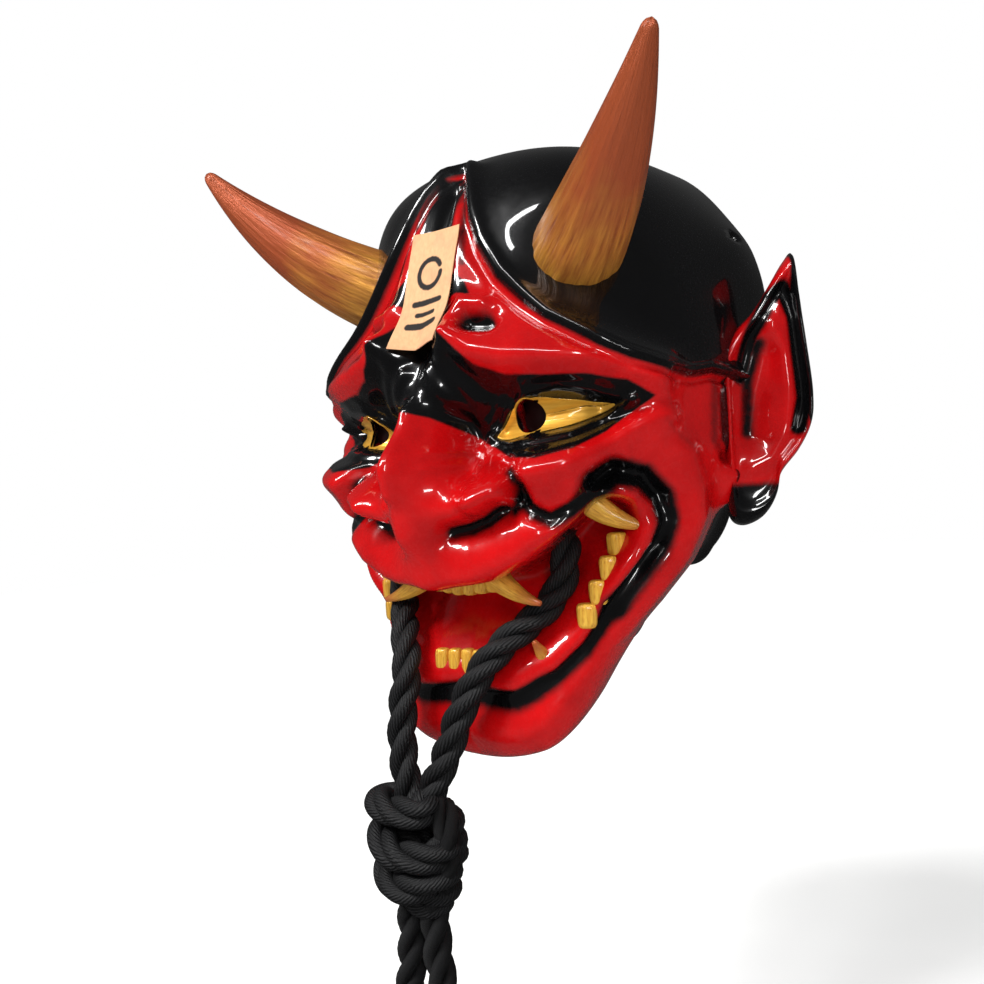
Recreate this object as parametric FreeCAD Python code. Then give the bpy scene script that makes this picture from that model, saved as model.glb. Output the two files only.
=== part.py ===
import FreeCAD, Part
import math
import os

# Demon mask with a rope through its mouth, in millimetres. The face looks to -Y, +X is the
# viewer's right, +Z is up, and the origin is the hole that the mask hangs by.

# Lacquered shell: a bowl drawn by rays from a centre point, cut flat at the back rim.
HALF_WIDTH = 86.0
DEPTH = 108.0
CROWN_RISE = 121.0
CHIN_DROP = 112.0
CENTRE_DROP = 99.0          # ray centre below the hanging hole
RIM_BEHIND = 4.0            # back rim behind the hanging hole
WALL = 4.5
JAW_TAPER = 0.30
JAW_START = 0.25            # share of the way down at which the jaw starts to narrow
FLANK_POWER = 2.5
CROWN_POWER = 3.0
UNROLL = 100.0              # radius that the face is unrolled on, for the (p, q) places below
SHELL_REACH = 176.0
SHELL_GRID = 56
SHELL_TILES = 4
CUP_GRID = (20, 20)
EYE_GRID = (24, 16)
SLIP_GRID = (6, 12)

# Relief on the unrolled face: height, half-width and the line it follows on the +X side.
RELIEF = [
    (9.0, 11.0, [(14, 33), (28, 31), (46, 30), (62, 29), (80, 24)]),       # brow
    (-13.0, 11.0, [(28, 8), (44, 11), (60, 12)]),                          # eye socket
    (9.0, 12.0, [(0, 16), (0, 0)]),                                        # nose bridge
    (16.0, 12.0, [(0, -6), (0, -22)]),                                     # nose tip
    (11.0, 10.0, [(17, -16), (21, -15)]),                                  # nostril wing
    (12.0, 14.0, [(42, -8), (50, -7)]),                                    # cheek ball
    (7.0, 8.0, [(0, -41), (18, -38), (34, -32), (46, -26), (58, -18), (70, -16)]),   # upper lip
    (-28.0, 13.0, [(0, -58), (25, -56), (42, -48), (60, -31)]),            # mouth
    (9.0, 8.0, [(0, -78), (27, -76), (43, -71), (54, -59), (63, -46), (77, -33)]),   # lower lip
    (22.0, 21.0, [(0, -97), (20, -90)]),                                   # chin
    (-24.0, 32.0, [(0, -152), (50, -148), (80, -134)]),                    # under the jaw
    (6.0, 30.0, [(0, 106), (30, 100)]),                                    # crown
    (5.0, 24.0, [(116, 98), (130, 92)]),                                   # above the ear
    (-6.0, 16.0, [(46, 66), (50, 66)]),                                    # round the horn
]

# Horns: round cones bowed outwards and down, let into cups in the scalp.
HORN_BASE = (40.0, -66.5, -32.0)
HORN_TIP = (109.0, -115.0, 29.0)
HORN_BASE_R = 17.5
HORN_TIP_R = 2.2
HORN_BOW = 7.0
HORN_TAPER = 1.7            # power that the radius falls by, towards the tip
CUP_WALL = 3.0
CUP_REACH = 40.0            # how far along the horn the cup is drawn before the face trims it
CUP_FLOOR = 5.0
CUP_P = (5.0, 95.0)         # stretch of the face that trims the cup
CUP_Q = (20.0, 110.0)
CUP_DEPTH = 50.0
CUP_COVER = 1.0             # wall left over the cup's edge
SCREW_HOLE_RUN = 1.0        # how far the screw hole is cut past the cup's floor
SCREW_R = 2.5
SCREW_HEAD_R = 5.0
SCREW_HEAD_H = 3.0
SCREW_GRIP = 16.0           # length of the screw inside the horn
SCREW_FIT = 0.2

# Ears: flat castings turned back along (EAR_OUT, EAR_BACK), outline as (outwards, height).
EAR_ROOT = (84.0, -21.0, -99.0)
EAR_OUT = 0.8
EAR_BACK = 0.6
EAR_THICK = 9.0
EAR_FRONT = [(-4.0, -16.0), (-4.0, 30.0), (9.0, 47.0), (16.0, 60.0), (26.0, 70.0)]
EAR_REAR = [(26.0, 70.0), (28.0, 45.0), (31.0, 12.0), (26.0, -2.0), (15.0, -15.0), (13.0, -27.0), (-4.0, -34.0)]
CONCHA_DEPTH = 5.0
CONCHA = [(4.0, -4.0), (6.0, 26.0), (16.0, 40.0), (22.0, 34.0), (24.0, 16.0), (16.0, 2.0)]

# Eyes: thin gilt plates lying in the sockets, with the pupil bored through plate and shell.
EYE_THICK = 1.2
EYE_LIFT = 0.1              # bed of glue under each plate
EYE_MARGIN = 6.0            # how far the plate's blank runs past its outline
EYE_CUTTER = 30.0           # how far the outline's cutter starts in front of the face
EYE_INNER = (26.0, 3.0)
EYE_OUTER = (63.0, 15.0)
EYE_UPPER = (42.0, 17.0)
EYE_LOWER = (44.0, 3.0)
PUPIL_X = 38.0
PUPIL_Z = -88.0
PUPIL_R = 6.5

# Fangs and tusks: (root, tip, root radius, bow) on the +X side.
FANG_TIP_R = 0.9
FANG_TAPER = 1.25
UPPER_FANG = ((17.0, -92.0, -145.5), (39.0, -93.5, -155.5), 4.6, 1.5)
UPPER_TUSK = ((49.0, -77.0, -117.0), (71.0, -68.0, -130.0), 5.6, 2.4)
LOWER_FANG = ((33.0, -83.0, -186.0), (33.0, -90.5, -170.0), 4.2, 0.5)

# Tooth rows: blocks (width, depth, height) along a line of the unrolled face, and their lift.
UPPER_ROW = [(-16, -47), (0, -48), (16, -47)]
UPPER_LIFT = 0.5
UPPER_TOOTH = (6.2, 6.0, 12.0)
UPPER_COUNT = 6
FRONT_ROW = [(-13, -70), (0, -71), (13, -70)]
FRONT_LIFT = 1.5
FRONT_TOOTH = (5.2, 5.0, 11.0)
FRONT_COUNT = 5
SIDE_ROW = [(44, -63), (52, -55), (59, -46), (66, -37)]
SIDE_LIFT = 1.0
SIDE_TOOTH = (6.8, 7.0, 9.0)
SIDE_COUNT = 4
TOOTH_ROUND = 1.4

# Paper slip glued to the forehead, on the unrolled face.
SLIP_HALF_WIDTH = 9.5
SLIP_BOTTOM = 33.0
SLIP_TOP = 71.0
SLIP_THICK = 0.6
SLIP_LIFT = 0.2             # paste under the paper

# Rope: one length from lip to lip through two holes in the mouth, then two legs to a knot.
ROPE_D = 12.0
ROPE_FIT = 1.0              # clearance round the rope in its holes
BEND_SHARE = 0.45           # share of a run that a bend may take at each of its ends
LIP_Y = -102.0
LIP_Z = -181.0
ROPE_UPPER = [
    (14, LIP_Y, LIP_Z), (22, -95, -170), (33, -84, -160), (39, -78, -149), (38, -74, -136), (30, -63, -125),
    (12, -55, -120), (-14, -55, -120), (-33, -63, -126), (-42, -74, -137), (-42, -79, -148), (-36, -85, -158),
    (-28, -95, -168), (-21, LIP_Y, LIP_Z)]
LEG_X = -14.25              # middle of the two legs where they enter the knot
LEG_SIDE = ROPE_D / 2.0 + 0.25
LEG_RIGHT = [(14, LIP_Y, LIP_Z), (7, -105, -195), (1, -106, -210), (LEG_X + LEG_SIDE, -106.5, -226)]
LEG_LEFT = [(-21, LIP_Y, LIP_Z), (-22, -105, -194), (-23, -106, -210), (LEG_X - LEG_SIDE, -106.5, -226)]
KNOT_CENTRE = (-17.0, -107.0, -250.0)
KNOT_SIZE = (23.0, 15.0, 26.0)      # half-width, half-depth and half-height
TAIL_X = -16.0              # middle of the two tails where they leave the knot
TAIL_Y = -107.0
TAIL_SIDE = ROPE_D / 2.0 + 0.15
TAIL_TOP = -275.0
TAIL_STEP = 18.75           # drop between the points of a tail
TAIL_LEFT = [(TAIL_X - TAIL_SIDE - spread, TAIL_Y, TAIL_TOP - i * TAIL_STEP)
             for i, spread in enumerate((0.0, 1.0, 4.5, 6.8, 7.5))]
TAIL_RIGHT = [(TAIL_X + TAIL_SIDE + spread, TAIL_Y, TAIL_TOP - i * TAIL_STEP)
              for i, spread in enumerate((0.0, 0.5, 4.8, 8.0, 9.0))]
END_KNOT_R = 8.5
JOINT_GAP = 0.9             # between the lip end of each leg and the rope above it

# Hanger: a steel plate screwed to a boss cast inside the crown.
BOSS_HALF_WIDTH = 15.0
BOSS_DEPTH = 10.0
BOSS_BOTTOM = -9.0
BOSS_TOP = 20.0
PLATE_THICK = 2.0
PLATE_HALF_WIDTH = 14.0
PLATE_HALF_HEIGHT = 7.0
PLATE_ROUND = 3.0
HANG_HOLE_R = 3.0
NAIL_ROOM_R = 5.0
NAIL_ROOM_DEPTH = 8.0
HANGER_SCREW_X = 9.5
HANGER_SCREW_R = 1.5
HANGER_HEAD_R = 2.8
HANGER_HEAD_H = 1.4
HANGER_SCREW_LENGTH = 7.0

# Strap holes bored square through the temples above the ears, at a place of the unrolled face.
STRAP_PLACE = (104.0, 105.0)
STRAP_TILT = 30.0           # degrees that each hole rises outwards
STRAP_R = 3.0
STRAP_REACH = 24.0

V = FreeCAD.Vector
CENTRE = V(0, RIM_BEHIND, -CENTRE_DROP)
BIG = 400.0


def save(name, shape):
    """Write one sub-part and print what a maker wants to know of it."""
    box = shape.BoundBox
    print("%-18s solids %2d valid %s volume %9.0f  x %6.1f %6.1f  y %6.1f %6.1f  z %6.1f %6.1f" % (
        name, len(shape.Solids), shape.isValid(), shape.Volume,
        box.XMin, box.XMax, box.YMin, box.YMax, box.ZMin, box.ZMax))
    shape.exportStep("parts/" + name + ".step")


def mirrored(shape):
    return shape.mirror(V(0, 0, 0), V(1, 0, 0))


def ray(p, q):
    """Unit direction from the centre for a place on the unrolled face."""
    reach = math.hypot(p, q)
    if reach < 1e-6:
        return V(0, -1, 0)
    angle = reach / UNROLL
    side = math.sin(angle) / reach
    return V(p * side, -math.cos(angle), q * side)


def bowl(direction):
    """Distance from the centre to the plain bowl, before the features are added."""
    fall = min(max((-direction.z - JAW_START) / (1.0 - JAW_START), 0.0), 1.0)
    half_width = HALF_WIDTH * (1.0 - JAW_TAPER * fall * fall * (3.0 - 2.0 * fall))
    height = CROWN_RISE if direction.z > 0 else CHIN_DROP
    level = abs(direction.x / half_width) ** FLANK_POWER + abs(direction.y / DEPTH) ** FLANK_POWER
    total = level ** (CROWN_POWER / FLANK_POWER) + abs(direction.z / height) ** CROWN_POWER
    return total ** (-1.0 / CROWN_POWER)


def distance_to_line(p, q, line):
    best = BIG
    for (p0, q0), (p1, q1) in zip(line, line[1:]):
        dp = p1 - p0
        dq = q1 - q0
        share = ((p - p0) * dp + (q - q0) * dq) / (dp * dp + dq * dq)
        share = min(max(share, 0.0), 1.0)
        best = min(best, math.hypot(p - p0 - share * dp, q - q0 - share * dq))
    return best


def relief(p, q):
    return sum(height * math.exp(-(distance_to_line(abs(p), q, line) / width) ** 2)
               for height, width, line in RELIEF)


def face_point(p, q, lift=0.0):
    """Point on the outside of the shell, or lifted from it along the ray."""
    direction = ray(p, q)
    return CENTRE + direction * (bowl(direction) + relief(p, q) + lift)


def surface(p_range, q_range, counts, lift):
    rows = []
    for i in range(counts[0] + 1):
        p = p_range[0] + (p_range[1] - p_range[0]) * i / counts[0]
        rows.append([face_point(p, q_range[0] + (q_range[1] - q_range[0]) * j / counts[1], lift)
                     for j in range(counts[1] + 1)])
    skin = Part.BSplineSurface()
    skin.interpolate(rows)
    return skin


def tiled(skin, tiles):
    """The surface as square tiles, so that no single face carries the whole shell."""
    u0, u1, v0, v1 = skin.bounds()
    du = (u1 - u0) / tiles
    dv = (v1 - v0) / tiles
    pieces = []
    for i in range(tiles):
        for j in range(tiles):
            piece = skin.copy()
            piece.segment(u0 + du * i, u0 + du * (i + 1), v0 + dv * j, v0 + dv * (j + 1))
            pieces.append(piece)
    return pieces


def patch(p_range, q_range, counts, inner_lift, outer_lift, tiles=1):
    """Closed solid between two offsets of the face, over a rectangle of the unrolled face."""
    inner = tiled(surface(p_range, q_range, counts, inner_lift), tiles)
    outer = tiled(surface(p_range, q_range, counts, outer_lift), tiles)
    faces = [skin.toShape() for skin in inner + outer]
    last = tiles - 1
    for index, (near, far) in enumerate(zip(inner, outer)):
        i, j = divmod(index, tiles)
        u0, u1, v0, v1 = near.bounds()
        if i == 0:
            faces.append(Part.makeRuledSurface(near.uIso(u0).toShape(), far.uIso(u0).toShape()))
        if i == last:
            faces.append(Part.makeRuledSurface(near.uIso(u1).toShape(), far.uIso(u1).toShape()))
        if j == 0:
            faces.append(Part.makeRuledSurface(near.vIso(v0).toShape(), far.vIso(v0).toShape()))
        if j == last:
            faces.append(Part.makeRuledSurface(near.vIso(v1).toShape(), far.vIso(v1).toShape()))
    shell = Part.makeShell(faces)
    shell.sewShape()
    solid = Part.makeSolid(shell)
    if solid.Volume < 0:
        solid.reverse()
    return solid


def cone_along(root, tip, root_r, tip_r, bow, taper, sections=7):
    """Round horn or fang: circles lofted along a line bowed downwards, with a rounded tip."""
    root = V(*root)
    tip = V(*tip)
    axis = (tip - root).normalize()
    down = V(0, 0, -1) - axis * V(0, 0, -1).dot(axis)
    down = down.normalize() if down.Length > 1e-6 else V(1, 0, 0)
    wires = []
    for i in range(sections):
        share = i / (sections - 1.0)
        centre = root + (tip - root) * share + down * (4.0 * bow * share * (1.0 - share))
        heading = (tip - root) + down * (4.0 * bow * (1.0 - 2.0 * share))
        if i == 0:
            heading = axis
        radius = root_r + (tip_r - root_r) * share ** taper
        wires.append(Part.Wire(Part.makeCircle(radius, centre, heading)))
    wires.append(Part.Vertex(tip + heading.normalize() * tip_r))
    return Part.makeLoft(wires, True)


def rounded_block(size, centre, turn):
    """Tooth: a rounded block, its width turned to run along the gum."""
    width, depth, height = size
    block = Part.makeBox(width, depth, height, V(-width / 2.0, -depth / 2.0, -height / 2.0))
    block = block.makeFillet(TOOTH_ROUND, block.Edges)
    block.rotate(V(0, 0, 0), V(0, 0, 1), turn)
    block.translate(centre)
    return block


def tooth_row(line, lift, size, count):
    """Separate teeth, evenly spaced along a line of places on the face."""
    points = [face_point(p, q, lift) for p, q in line]
    lengths = [(b - a).Length for a, b in zip(points, points[1:])]
    teeth = []
    for i in range(count):
        along = sum(lengths) * (i + 0.5) / count
        index = 0
        while along > lengths[index]:
            along -= lengths[index]
            index += 1
        step = points[index + 1] - points[index]
        turn = math.degrees(math.atan2(step.y, step.x))
        teeth.append(rounded_block(size, points[index] + step * (along / step.Length), turn))
    return Part.makeCompound(teeth)


def rope_path(points):
    """Straight runs joined by tangent arcs; returns the wire and prints the smallest radius."""
    points = [V(*point) for point in points]
    edges = []
    start = points[0]
    smallest = BIG
    for before, here, after in zip(points, points[1:], points[2:]):
        back = before - here
        on = after - here
        turn = math.pi - back.getAngle(on)
        radius = BEND_SHARE * min(back.Length, on.Length) / math.tan(turn / 2.0)
        trim = radius * math.tan(turn / 2.0)
        back = back.normalize()
        on = on.normalize()
        middle = (back + on).normalize()
        bend = here + middle * (radius / math.cos(turn / 2.0) - radius)
        edges.append(Part.LineSegment(start, here + back * trim).toShape())
        edges.append(Part.Arc(here + back * trim, bend, here + on * trim).toShape())
        start = here + on * trim
        smallest = min(smallest, radius)
    edges.append(Part.LineSegment(start, points[-1]).toShape())
    return Part.Wire(edges), smallest


def rope_tube(points, radius):
    path, smallest = rope_path(points)
    first = V(*points[0])
    section = Part.Wire(Part.makeCircle(radius, first, V(*points[1]) - first))
    tube = path.makePipeShell([section], True, True, 1)
    length = path.Length
    print("rope length %.1f mm, smallest radius %.1f mm, volume ratio %.3f" % (
        length, smallest, tube.Volume / (math.pi * radius * radius * length)))
    return tube


def rope_solids():
    """The rope above the lip stops short of each pivot; each leg starts there with a round end."""
    half = ROPE_D / 2.0
    upper = rope_tube(ROPE_UPPER, half)
    for end in (ROPE_UPPER[0], ROPE_UPPER[-1]):
        upper = upper.cut(Part.makeSphere(half + JOINT_GAP, V(*end)))
    upper = max(upper.Solids, key=lambda solid: solid.Volume)
    legs = [rope_tube(points, half).fuse(Part.makeSphere(half, V(*points[0]))).removeSplitter()
            for points in (LEG_LEFT, LEG_RIGHT)]
    tails = [rope_tube(points, half) for points in (TAIL_LEFT, TAIL_RIGHT)]
    return upper, legs, tails


def knot_solid():
    """The outer shape of the tied knot."""
    width, depth, height = KNOT_SIZE
    matrix = FreeCAD.Matrix()
    matrix.scale(width, depth, height)
    knot = Part.makeSphere(1.0).transformGeometry(matrix)
    knot.translate(V(*KNOT_CENTRE))
    return knot


def ear_solid():
    """Pointed ear: an outline of two curves, given its thickness, with the concha hollowed."""
    out = V(EAR_OUT, EAR_BACK, 0)
    front = V(EAR_BACK, -EAR_OUT, 0)
    root = V(*EAR_ROOT)

    def placed(outline, forward):
        return [root + out * s + V(0, 0, z) + front * forward for s, z in outline]

    def curve(points):
        line = Part.BSplineCurve()
        line.interpolate(points)
        return line.toShape()

    behind = -EAR_THICK / 2.0
    lead = placed(EAR_FRONT, behind)
    trail = placed(EAR_REAR, behind)
    edges = [curve(lead), curve(trail), Part.makeLine(trail[-1], lead[0])]
    ear = Part.Face(Part.Wire(edges)).extrude(front * EAR_THICK)
    hollow = Part.BSplineCurve()
    hollow.interpolate(placed(CONCHA, EAR_THICK / 2.0 - CONCHA_DEPTH), PeriodicFlag=True)
    return ear.cut(Part.Face(Part.Wire(hollow.toShape())).extrude(front * (CONCHA_DEPTH + 1.0)))


def almond():
    """Prism through the socket with the outline of the eye."""
    places = [EYE_INNER, EYE_UPPER, EYE_OUTER, EYE_LOWER]
    points = [face_point(p, q, 0.0) for p, q in places]
    flat = min(point.y for point in points) - EYE_CUTTER
    points = [V(point.x, flat, point.z) for point in points]
    upper = Part.Arc(points[0], points[1], points[2]).toShape()
    lower = Part.Arc(points[2], points[3], points[0]).toShape()
    return Part.Face(Part.Wire([upper, lower])).extrude(V(0, 3 * EYE_CUTTER, 0))


def eye_plate(pupil):
    p_range = (EYE_INNER[0] - EYE_MARGIN, EYE_OUTER[0] + EYE_MARGIN)
    q_range = (EYE_LOWER[1] - EYE_MARGIN, EYE_UPPER[1] + EYE_MARGIN)
    plate = patch(p_range, q_range, EYE_GRID, EYE_LIFT, EYE_LIFT + EYE_THICK).common(almond())
    return plate.cut(pupil)


def horn_axis():
    return (V(*HORN_TIP) - V(*HORN_BASE)).normalize()


def screw_solid():
    """Wood screw driven from inside the shell through the cup's floor into the horn."""
    axis = horn_axis()
    head = V(*HORN_BASE) - axis * (CUP_FLOOR + SCREW_HEAD_H)
    shank = Part.makeCylinder(SCREW_R, CUP_FLOOR + SCREW_HEAD_H + SCREW_GRIP, head, axis)
    return shank.fuse(Part.makeCylinder(SCREW_HEAD_R, SCREW_HEAD_H, head, axis)).removeSplitter()


def horn_cup():
    """Cup inside the scalp that holds the horn's root, trimmed just under the lacquer."""
    axis = horn_axis()
    foot = V(*HORN_BASE) - axis * CUP_FLOOR
    cup = Part.makeCylinder(HORN_BASE_R + CUP_WALL, CUP_REACH, foot, axis)
    return cup.common(patch(CUP_P, CUP_Q, CUP_GRID, -CUP_DEPTH, -CUP_COVER))


def screw_hole():
    start = V(*HORN_BASE) - horn_axis() * (CUP_FLOOR + SCREW_HOLE_RUN)
    return Part.makeCylinder(SCREW_R + SCREW_FIT, CUP_FLOOR + 2 * SCREW_HOLE_RUN, start, horn_axis())


def hanger_parts():
    """Plate with the hanging hole at the origin, its two screws, and their holes in the boss."""
    plate = Part.makeBox(2 * PLATE_HALF_WIDTH, PLATE_THICK, 2 * PLATE_HALF_HEIGHT,
                         V(-PLATE_HALF_WIDTH, -PLATE_THICK, -PLATE_HALF_HEIGHT))
    plate = plate.makeFillet(PLATE_ROUND, [edge for edge in plate.Edges
                                   if abs(edge.tangentAt(edge.FirstParameter).y) > 0.9])
    plate = plate.cut(Part.makeCylinder(HANG_HOLE_R, PLATE_THICK, V(0, -PLATE_THICK, 0), V(0, 1, 0)))
    screws = []
    for x in (-HANGER_SCREW_X, HANGER_SCREW_X):
        shank = Part.makeCylinder(HANGER_SCREW_R, HANGER_SCREW_LENGTH, V(x, 0, 0), V(0, -1, 0))
        head = Part.makeCylinder(HANGER_HEAD_R, HANGER_HEAD_H, V(x, 0, 0), V(0, 1, 0))
        screws.append(shank.fuse(head).removeSplitter())
        plate = plate.cut(shank)
    return plate, Part.makeCompound(screws)


def strap_hole(side):
    """Cutter through one temple, centred on the middle of the wall."""
    middle = face_point(side * STRAP_PLACE[0], STRAP_PLACE[1], -WALL / 2.0)
    tilt = math.radians(STRAP_TILT)
    axis = V(side * math.cos(tilt), 0, math.sin(tilt))
    print("strap hole at %.2f %.2f %.2f" % (middle.x, middle.y, middle.z))
    return Part.makeCylinder(STRAP_R, STRAP_REACH, middle - axis * (STRAP_REACH / 2.0), axis)


def shell_solid(cups, cuts):
    """The whole lacquered shell with its horn cups, hanger boss, holes and sockets for the teeth."""
    reach = (-SHELL_REACH, SHELL_REACH)
    shell = patch(reach, reach, (SHELL_GRID, SHELL_GRID), -WALL, 0.0, SHELL_TILES)
    behind = Part.makeBox(2 * BIG, BIG, 2 * BIG, V(-BIG, RIM_BEHIND, -BIG))
    shell = shell.cut(behind)
    boss = Part.makeBox(2 * BOSS_HALF_WIDTH, BOSS_DEPTH, BOSS_TOP - BOSS_BOTTOM,
                        V(-BOSS_HALF_WIDTH, -PLATE_THICK - BOSS_DEPTH, BOSS_BOTTOM))
    shell = shell.fuse([boss] + cups)
    return shell.cut(cuts)


def build():
    os.makedirs("parts", exist_ok=True)
    upper_rope, legs, tails = rope_solids()
    save("rope_upper", upper_rope)
    save("rope_leg_left", legs[0])
    save("rope_leg_right", legs[1])
    knot = knot_solid()
    save("rope_tail_left", tails[0].cut(knot))
    save("rope_tail_right", tails[1].cut(knot))
    save("rope_knot", knot.cut(legs))
    for side, points in (("left", TAIL_LEFT), ("right", TAIL_RIGHT)):
        end = V(*points[-1]) - V(0, 0, END_KNOT_R)
        save("rope_end_knot_" + side, Part.makeSphere(END_KNOT_R, end))

    plate, hanger_screws = hanger_parts()
    save("hanger_plate", plate)
    save("hanger_screws", hanger_screws)

    horn_outside = cone_along(HORN_BASE, HORN_TIP, HORN_BASE_R, HORN_TIP_R, HORN_BOW, HORN_TAPER)
    screw = screw_solid()
    horn = horn_outside.cut(screw)
    upper_fang, upper_tusk, lower_fang = [
        cone_along(root, tip, root_r, FANG_TIP_R, bow, FANG_TAPER)
        for root, tip, root_r, bow in (UPPER_FANG, UPPER_TUSK, LOWER_FANG)]
    side_teeth = tooth_row(SIDE_ROW, SIDE_LIFT, SIDE_TOOTH, SIDE_COUNT)
    upper_teeth = tooth_row(UPPER_ROW, UPPER_LIFT, UPPER_TOOTH, UPPER_COUNT)
    front_teeth = tooth_row(FRONT_ROW, FRONT_LIFT, FRONT_TOOTH, FRONT_COUNT)
    pupil = Part.makeCylinder(PUPIL_R, BIG / 2.0, V(PUPIL_X, 0, PUPIL_Z), V(0, -1, 0))
    paired = {"horn": horn, "upper_fang": upper_fang, "upper_tusk": upper_tusk,
              "lower_fang": lower_fang, "lower_teeth": side_teeth, "eye": eye_plate(pupil)}
    for name, shape in paired.items():
        save(name + "_right", shape)
        save(name + "_left", mirrored(shape))
    save("horn_screws", Part.makeCompound([screw, mirrored(screw)]))
    save("upper_teeth", upper_teeth)
    save("lower_teeth_front", front_teeth)

    slip = patch((-SLIP_HALF_WIDTH, SLIP_HALF_WIDTH), (SLIP_BOTTOM, SLIP_TOP), SLIP_GRID,
                 SLIP_LIFT, SLIP_LIFT + SLIP_THICK)
    save("paper_slip", slip)

    cuts = [pupil, mirrored(pupil)]
    for shape in (horn_outside, screw_hole(), upper_fang, upper_tusk, lower_fang):
        cuts += [shape, mirrored(shape)]
    for row in (side_teeth, mirrored(side_teeth), upper_teeth, front_teeth):
        cuts += row.Solids
    cuts.append(rope_tube(ROPE_UPPER, ROPE_D / 2.0 + ROPE_FIT))
    cuts.append(Part.makeCylinder(NAIL_ROOM_R, NAIL_ROOM_DEPTH, V(0, -PLATE_THICK, 0), V(0, -1, 0)))
    cuts += hanger_screws.Solids
    cuts += [strap_hole(side) for side in (-1, 1)]
    cup = horn_cup()
    shell = shell_solid([cup, mirrored(cup)], cuts)
    save("mask_shell", shell)

    ear = ear_solid().cut(shell)
    ear = max(ear.Solids, key=lambda solid: solid.Volume)
    save("ear_right", ear)
    save("ear_left", mirrored(ear))


build()
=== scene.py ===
import math
import bmesh
import bpy
import numpy as np
from mathutils import Euler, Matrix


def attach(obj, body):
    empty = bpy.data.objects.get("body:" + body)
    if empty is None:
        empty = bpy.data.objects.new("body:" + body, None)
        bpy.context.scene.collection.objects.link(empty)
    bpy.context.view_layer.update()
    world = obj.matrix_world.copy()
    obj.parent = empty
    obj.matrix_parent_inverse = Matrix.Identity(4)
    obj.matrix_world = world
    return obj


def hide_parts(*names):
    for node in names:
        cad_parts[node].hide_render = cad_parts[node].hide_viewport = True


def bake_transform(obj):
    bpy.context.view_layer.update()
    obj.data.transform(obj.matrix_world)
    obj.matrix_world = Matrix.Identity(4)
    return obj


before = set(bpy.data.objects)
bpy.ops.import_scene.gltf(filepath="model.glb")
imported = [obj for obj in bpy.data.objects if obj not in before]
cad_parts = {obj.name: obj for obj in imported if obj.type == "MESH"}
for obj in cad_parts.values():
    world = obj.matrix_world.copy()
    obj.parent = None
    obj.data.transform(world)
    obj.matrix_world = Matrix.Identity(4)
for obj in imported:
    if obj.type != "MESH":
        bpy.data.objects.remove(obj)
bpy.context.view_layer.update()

# ----------------------------------------
# The viewer stands a little to the right of the face, level with its cheeks, about half a metre
# away, with the head leaning slightly. The pieces below are drawn in mm, and MM makes them metres.
MM = 0.001
camera = bpy.data.objects.new("camera", bpy.data.cameras.new("camera"))
bpy.context.scene.collection.objects.link(camera)
camera.location = (0.2693, -0.4136, -0.1102)
camera.rotation_euler = Euler([math.radians(turn) for turn in (89.46, 3.42, 37.97)])
camera.data.sensor_width = 36.0
camera.data.lens = 39.8
camera.data.clip_start = 0.01
bpy.context.scene.camera = camera

# ----------------------------------------
# Rope: black polyester rope 12 mm thick, three strands laid right-handed. One length runs in at
# one corner of the mouth and out at the other, and both ends hang over the lip to a knot.
STRAND_R = 3.0
LAY_R = 3.0
LAY_PITCH = 38.0
rope_route = [
    (-0.019, -0.107, -0.237), (-0.0205, -0.1065, -0.226), (-0.023, -0.106, -0.210), (-0.022, -0.105, -0.194),
    (-0.021, -0.102, -0.181), (-0.028, -0.095, -0.168), (-0.036, -0.085, -0.158),
    (-0.042, -0.079, -0.148), (-0.042, -0.074, -0.137), (-0.033, -0.063, -0.126),
    (-0.014, -0.055, -0.120), (0.012, -0.055, -0.120), (0.030, -0.063, -0.125),
    (0.038, -0.074, -0.136), (0.039, -0.078, -0.149), (0.033, -0.084, -0.160),
    (0.022, -0.095, -0.170), (0.014, -0.102, -0.181), (0.007, -0.105, -0.195),
    (0.001, -0.106, -0.210), (-0.008, -0.1065, -0.226), (-0.013, -0.107, -0.237)]


def route_line(route, steps):
    """The smooth line, in mm, that a rope takes along its given route."""
    curve = bpy.data.curves.new("route", "CURVE")
    curve.dimensions = "3D"
    curve.resolution_u = steps
    spline = curve.splines.new("NURBS")
    spline.points.add(len(route) - 1)
    for point, place in zip(spline.points, route):
        point.co = (*place, 1.0)
    spline.order_u = 3
    spline.use_endpoint_u = True
    holder = bpy.data.objects.new("route", curve)
    mesh = bpy.data.meshes.new_from_object(holder)
    line = np.array([vertex.co for vertex in mesh.vertices]) / MM
    bpy.data.meshes.remove(mesh)
    bpy.data.objects.remove(holder)
    bpy.data.curves.remove(curve)
    return line


def unit(vectors):
    return vectors / np.maximum(np.linalg.norm(vectors, axis=-1, keepdims=True), 1e-9)


def soft_grid(bm, across, along, place):
    """Add a grid whose corners are moved to place(u, v), in mm; u and v run from 0 to 1."""
    made = bmesh.ops.create_grid(bm, x_segments=across, y_segments=along, size=0.5, calc_uvs=True)["verts"]
    flat = np.array([vertex.co for vertex in made])
    u = (flat[:, 0] - flat[:, 0].min()) / np.ptp(flat[:, 0])
    v = (flat[:, 1] - flat[:, 1].min()) / np.ptp(flat[:, 1])
    for vertex, target in zip(made, place(u, v) * MM):
        vertex.co = target
    return made, u, v


def fresh():
    """An empty mesh with a map that patterns can follow."""
    bm = bmesh.new()
    bm.loops.layers.uv.new("uv")
    return bm


def closed(bm):
    """Join the seams and poles, and turn every face outwards."""
    bmesh.ops.remove_doubles(bm, verts=bm.verts, dist=2e-6)
    bmesh.ops.dissolve_degenerate(bm, edges=bm.edges, dist=1e-7)
    bmesh.ops.recalc_face_normals(bm, faces=bm.faces)


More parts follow.
